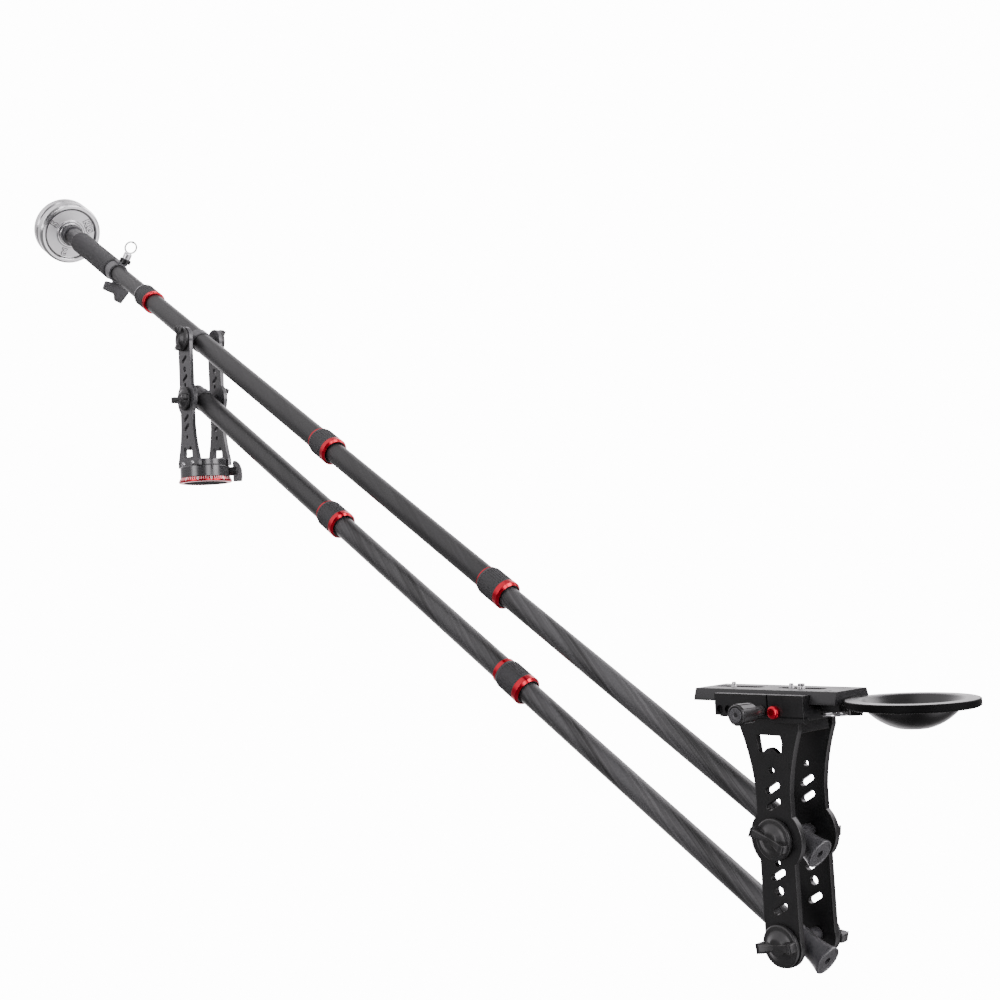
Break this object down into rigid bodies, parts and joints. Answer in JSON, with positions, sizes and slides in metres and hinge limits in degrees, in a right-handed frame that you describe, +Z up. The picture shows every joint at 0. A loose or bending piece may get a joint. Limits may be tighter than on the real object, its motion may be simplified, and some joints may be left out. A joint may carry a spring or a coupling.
{
  "type": "camera jib crane",
  "caption": "Telescoping parallel-arm camera crane with a turning base, twist-lock carbon tubes, a levelled head with a sliding plate and a bowl, and chrome counterweights",
  "frame": {"origin": "middle of the pan base's underside, where it stands on its stand's stud", "axes": "+X runs from the mast towards the camera head, +Y is the far side, +Z is up; arms slope down to the head"},
  "size_m": [2.3296, 0.1666, 1.4527],
  "materials": {
    "carbon_tube": "satin carbon fibre with a spiral wrap",
    "black_anodised": "satin black anodised",
    "red_anodised": "bright red anodised",
    "bright_metal": "plain turned steel",
    "chrome_plate": "polished chrome on cast iron",
    "grip_rubber": "matte black, ribbed",
    "knob_plastic": "satin black moulded",
    "foam": "matte charcoal foam"
  },
  "bodies": {
    "base": {"base_ring": "red_anodised", "base_plate": "bright_metal", "pan_bearing": "bright_metal"},
    "mast": {"pan_drum": "black_anodised", "mast_plate_near": "black_anodised", "mast_plate_far": "black_anodised"},
    "upper_main": {"upper_main_tube": "carbon_tube", "upper_trunnion_sleeve": "black_anodised", "upper_first_lock_sleeve": "red_anodised", "rear_lock_sleeve": "red_anodised"},
    "upper_middle": {"upper_middle_tube": "carbon_tube", "upper_second_lock_sleeve": "red_anodised"},
    "upper_front": {"upper_front_tube": "carbon_tube", "upper_end_fitting": "black_anodised"},
    "head": {"head_plate_near": "black_anodised", "head_plate_far": "black_anodised", "clamp_base": "black_anodised"},
    "lower_main": {"lower_main_tube": "carbon_tube", "lower_trunnion_sleeve": "black_anodised", "lower_first_lock_sleeve": "red_anodised"},
    "lower_middle": {"lower_middle_tube": "carbon_tube", "lower_second_lock_sleeve": "red_anodised"},
    "lower_front": {"lower_front_tube": "carbon_tube", "lower_end_fitting": "black_anodised"},
    "rear": {"rear_tube": "carbon_tube", "foam_grip": "foam", "accessory_clamp": "black_anodised", "weight_bar": "black_anodised", "weight_plate_front": "chrome_plate", "weight_plate_rear": "chrome_plate"},
    "camera_plate": {"quick_release_plate": "black_anodised", "bowl_bracket": "black_anodised"},
    "pan_knob": {"pan_lock_knob": "knob_plastic"},
    "upper_first_twist": {"upper_first_lock_collar": "grip_rubber", "upper_first_lock_ring": "red_anodised"},
    "upper_second_twist": {"upper_second_lock_collar": "grip_rubber", "upper_second_lock_ring": "red_anodised"},
    "lower_first_twist": {"lower_first_lock_collar": "grip_rubber", "lower_first_lock_ring": "red_anodised"},
    "lower_second_twist": {"lower_second_lock_collar": "grip_rubber", "lower_second_lock_ring": "red_anodised"},
    "rear_twist": {"rear_lock_collar": "grip_rubber"},
    "wheel": {"thumb_wheel": "knob_plastic"},
    "eye": {"eye_bolt": "chrome_plate"},
    "wing_screw": {"clamp_wing_screw": "knob_plastic"},
    "weight_lock": {"weight_lock_collar": "knob_plastic"},
    "clamp_knob": {"clamp_lock_knob": "knob_plastic"},
    "button": {"safety_button": "red_anodised"},
    "bowl_screw": {"bowl_thumb_screw": "bright_metal"},
    "screw_rear": {"camera_screw_rear": "chrome_plate"},
    "screw_middle": {"camera_screw_middle": "chrome_plate"},
    "screw_front": {"camera_screw_front": "chrome_plate"},
    "mast_upper_near": {"mast_upper_knob_near": "knob_plastic"},
    "mast_upper_far": {"mast_upper_knob_far": "knob_plastic"},
    "mast_lower_near": {"mast_lower_knob_near": "knob_plastic"},
    "mast_lower_far": {"mast_lower_knob_far": "knob_plastic"},
    "head_upper_near": {"head_upper_knob_near": "knob_plastic"},
    "head_upper_far": {"head_upper_knob_far": "knob_plastic"},
    "head_lower_near": {"head_lower_knob_near": "knob_plastic"},
    "head_lower_far": {"head_lower_knob_far": "knob_plastic"}
  },
  "joints": [
    {"name": "pan", "type": "hinge", "parent": "base", "child": "mast", "pos_m": [0, 0, 0], "axis": [0, 0, 1], "continuous": true},
    {"name": "arm_tilt", "type": "hinge", "parent": "mast", "child": "upper_main", "pos_m": [0, 0, 0.2896], "axis": [0, 1, 0], "range_deg": [-81, 14]},
    {"name": "lower_arm_tilt", "type": "hinge", "parent": "mast", "child": "lower_main", "pos_m": [0, 0, 0.1696], "axis": [0, 1, 0], "range_deg": [-81, 14]},
    {"name": "upper_middle_slide", "type": "slide", "parent": "upper_main", "child": "upper_middle", "axis": [0.8572, 0, -0.515], "range_m": [-0.445, 0]},
    {"name": "upper_front_slide", "type": "slide", "parent": "upper_middle", "child": "upper_front", "axis": [0.8572, 0, -0.515], "range_m": [-0.495, 0]},
    {"name": "lower_middle_slide", "type": "slide", "parent": "lower_main", "child": "lower_middle", "axis": [0.8572, 0, -0.515], "range_m": [-0.445, 0]},
    {"name": "lower_front_slide", "type": "slide", "parent": "lower_middle", "child": "lower_front", "axis": [0.8572, 0, -0.515], "range_m": [-0.495, 0]},
    {"name": "head_level", "type": "hinge", "parent": "upper_front", "child": "head", "pos_m": [1.39033, 0, -0.54579], "axis": [0, 1, 0], "range_deg": [-14, 81]},
    {"name": "rear_slide", "type": "slide", "parent": "upper_main", "child": "rear", "axis": [0.8572, 0, -0.515], "range_m": [-0.04, 0.1]},
    {"name": "camera_plate_slide", "type": "slide", "parent": "head", "child": "camera_plate", "axis": [1, 0, 0], "range_m": [0, 0.06]},
    {"name": "pan_knob_turn", "type": "hinge", "parent": "mast", "child": "pan_knob", "pos_m": [0, 0, 0.0213], "axis": [0.6157, 0.788, 0], "continuous": true},
    {"name": "mast_upper_knob_near_turn", "type": "hinge", "parent": "mast", "child": "mast_upper_near", "pos_m": [0, 0, 0.2896], "axis": [0, 1, 0], "continuous": true},
    {"name": "mast_upper_knob_far_turn", "type": "hinge", "parent": "mast", "child": "mast_upper_far", "pos_m": [0, 0, 0.2896], "axis": [0, 1, 0], "continuous": true},
    {"name": "mast_lower_knob_near_turn", "type": "hinge", "parent": "mast", "child": "mast_lower_near", "pos_m": [0, 0, 0.1696], "axis": [0, 1, 0], "continuous": true},
    {"name": "mast_lower_knob_far_turn", "type": "hinge", "parent": "mast", "child": "mast_lower_far", "pos_m": [0, 0, 0.1696], "axis": [0, 1, 0], "continuous": true},
    {"name": "head_upper_knob_near_turn", "type": "hinge", "parent": "head", "child": "head_upper_near", "pos_m": [1.39033, 0, -0.54579], "axis": [0, 1, 0], "continuous": true},
    {"name": "head_upper_knob_far_turn", "type": "hinge", "parent": "head", "child": "head_upper_far", "pos_m": [1.39033, 0, -0.54579], "axis": [0, 1, 0], "continuous": true},
    {"name": "head_lower_knob_near_turn", "type": "hinge", "parent": "head", "child": "head_lower_near", "pos_m": [1.39033, 0, -0.66579], "axis": [0, 1, 0], "continuous": true},
    {"name": "head_lower_knob_far_turn", "type": "hinge", "parent": "head", "child": "head_lower_far", "pos_m": [1.39033, 0, -0.66579], "axis": [0, 1, 0], "continuous": true},
    {"name": "upper_first_twist_turn", "type": "hinge", "parent": "upper_main", "child": "upper_first_twist", "pos_m": [0.44744, 0, 0.02075], "axis": [0.8572, 0, -0.515], "continuous": true},
    {"name": "upper_second_twist_turn", "type": "hinge", "parent": "upper_middle", "child": "upper_second_twist", "pos_m": [0.8846, 0, -0.24192], "axis": [0.8572, 0, -0.515], "continuous": true},
    {"name": "lower_first_twist_turn", "type": "hinge", "parent": "lower_main", "child": "lower_first_twist", "pos_m": [0.46287, 0, -0.10852], "axis": [0.8572, 0, -0.515], "continuous": true},
    {"name": "lower_second_twist_turn", "type": "hinge", "parent": "lower_middle", "child": "lower_second_twist", "pos_m": [0.91546, 0, -0.38046], "axis": [0.8572, 0, -0.515], "continuous": true},
    {"name": "rear_twist_turn", "type": "hinge", "parent": "upper_main", "child": "rear_twist", "pos_m": [-0.22801, 0, 0.4266], "axis": [0.8572, 0, -0.515], "continuous": true},
    {"name": "thumb_wheel_turn", "type": "hinge", "parent": "rear", "child": "wheel", "pos_m": [-0.37947, 0.01, 0.51761], "axis": [0.5038, 0.2079, 0.8384], "continuous": true},
    {"name": "eye_bolt_turn", "type": "hinge", "parent": "rear", "child": "eye", "pos_m": [-0.37947, 0.01, 0.51761], "axis": [0.5038, 0.2079, 0.8384], "continuous": true},
    {"name": "wing_screw_turn", "type": "hinge", "parent": "rear", "child": "wing_screw", "pos_m": [-0.37947, 0, 0.51761], "axis": [0.51, -0.1392, 0.8488], "continuous": true},
    {"name": "weight_lock_turn", "type": "hinge", "parent": "rear", "child": "weight_lock", "pos_m": [-0.66859, 0, 0.69133], "axis": [0.8572, 0, -0.515], "continuous": true},
    {"name": "clamp_knob_turn", "type": "hinge", "parent": "head", "child": "clamp_knob", "pos_m": [1.38932, 0, -0.39879], "axis": [0, 1, 0], "continuous": true},
    {"name": "safety_button_press", "type": "slide", "parent": "head", "child": "button", "axis": [0, 1, 0], "range_m": [0, 0.005], "stiffness_N_per_m": 300},
    {"name": "bowl_screw_turn", "type": "hinge", "parent": "camera_plate", "child": "bowl_screw", "pos_m": [1.46833, 0, -0.54579], "axis": [0, 0, 1], "range_deg": [-10, 190]},
    {"name": "screw_rear_slide", "type": "slide", "parent": "camera_plate", "child": "screw_rear", "axis": [1, 0, 0], "range_m": [-0.018, 0.038]},
    {"name": "screw_middle_slide", "type": "slide", "parent": "camera_plate", "child": "screw_middle", "axis": [1, 0, 0], "range_m": [-0.011, 0]},
    {"name": "screw_front_slide", "type": "slide", "parent": "camera_plate", "child": "screw_front", "axis": [1, 0, 0], "range_m": [0, 0.025]}
  ],
  "couplings": [
    {"joint": "lower_arm_tilt", "follows": "arm_tilt", "ratio": 1},
    {"joint": "head_level", "follows": "arm_tilt", "ratio": -1},
    {"joint": "lower_middle_slide", "follows": "upper_middle_slide", "ratio": 1},
    {"joint": "lower_front_slide", "follows": "upper_front_slide", "ratio": 1}
  ]
}
